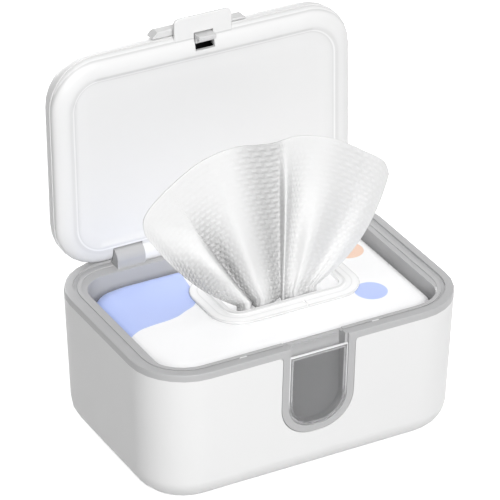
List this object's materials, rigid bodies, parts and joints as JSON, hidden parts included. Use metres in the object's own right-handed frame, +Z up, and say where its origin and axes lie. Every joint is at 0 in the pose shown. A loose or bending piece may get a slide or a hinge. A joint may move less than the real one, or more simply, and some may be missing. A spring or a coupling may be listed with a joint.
{
  "type": "baby wipe warmer",
  "caption": "Rounded white box with a grey liner, a hinged latching lid and a front window, holding a refill pack of wipes over a heating plate.",
  "frame": {"origin": "on the floor plane under the feet, midway between the outermost points left to right and front to back with the lid open", "axes": "+X to the right, +Y to the hinge side at the back, +Z up; at rest the lid stands open as pictured"},
  "size_m": [0.22, 0.1672, 0.2501],
  "materials": {
    "white_shell": "moulded white plastic with a soft satin sheen",
    "grey_liner": "moulded light grey plastic, satin",
    "smoked_pane": "clear smoked plastic pane with bright polished edges",
    "grey_rubber": "soft grey silicone",
    "white_pad": "soft white silicone",
    "steel": "bright drawn steel",
    "aluminium_plate": "plain rolled sheet",
    "amber_film": "amber film with an etched heating track",
    "foam": "closed-cell foam",
    "black_plastic": "moulded black plastic",
    "green_board": "green solder resist",
    "red_sleeve": "flexible red sleeve",
    "pack_film": "soft printed film, white with pale blue areas",
    "collar_plastic": "glossy white plastic",
    "wipe_cloth": "embossed white non-woven cloth"
  },
  "bodies": {
    "base": {"outer_casing": "white_shell", "base_cover": "white_shell", "inner_liner": "grey_liner", "window_pane": "smoked_pane", "rim_gasket_left": "grey_rubber", "rim_gasket_right": "grey_rubber", "rubber_foot_1": "grey_rubber", "rubber_foot_2": "grey_rubber", "rubber_foot_3": "grey_rubber", "rubber_foot_4": "grey_rubber", "rim_bumper_left": "white_pad", "rim_bumper_right": "white_pad", "hinge_pin_left": "steel", "hinge_pin_right": "steel", "inlet_nut": "steel", "thermal_fuse": "steel", "cover_screw_1": "steel", "cover_screw_2": "steel", "cover_screw_3": "steel", "cover_screw_4": "steel", "body_screw_1": "steel", "body_screw_2": "steel", "body_screw_3": "steel", "body_screw_4": "steel", "heat_plate": "aluminium_plate", "heating_film": "amber_film", "insulation_pad": "foam", "temperature_sensor": "black_plastic", "dc_inlet": "black_plastic", "inlet_lead": "black_plastic", "control_board": "green_board", "heater_lead": "red_sleeve", "refill_pack": "pack_film", "pack_collar": "collar_plastic", "wipe_sheet": "wipe_cloth"},
    "lid": {"lid_shell": "white_shell", "lid_panel": "white_shell", "lid_insulation": "foam", "latch_pin": "steel", "latch_spring": "steel"},
    "latch": {"latch_rocker": "white_shell"}
  },
  "joints": [
    {"name": "lid_hinge", "type": "hinge", "parent": "base", "child": "lid", "pos_m": [0, 0.06142, 0.0985], "axis": [1, 0, 0], "range_deg": [0, 92.1], "deforming": ["wipe_sheet"]},
    {"name": "latch_press", "type": "hinge", "parent": "lid", "child": "latch", "pos_m": [0, 0.0728, 0.23157], "axis": [-1, 0, 0], "range_deg": [0, 6], "stiffness_Nm_per_rad": 0.03, "springref_deg": -17.19, "deforming": ["latch_spring"]}
  ]
}
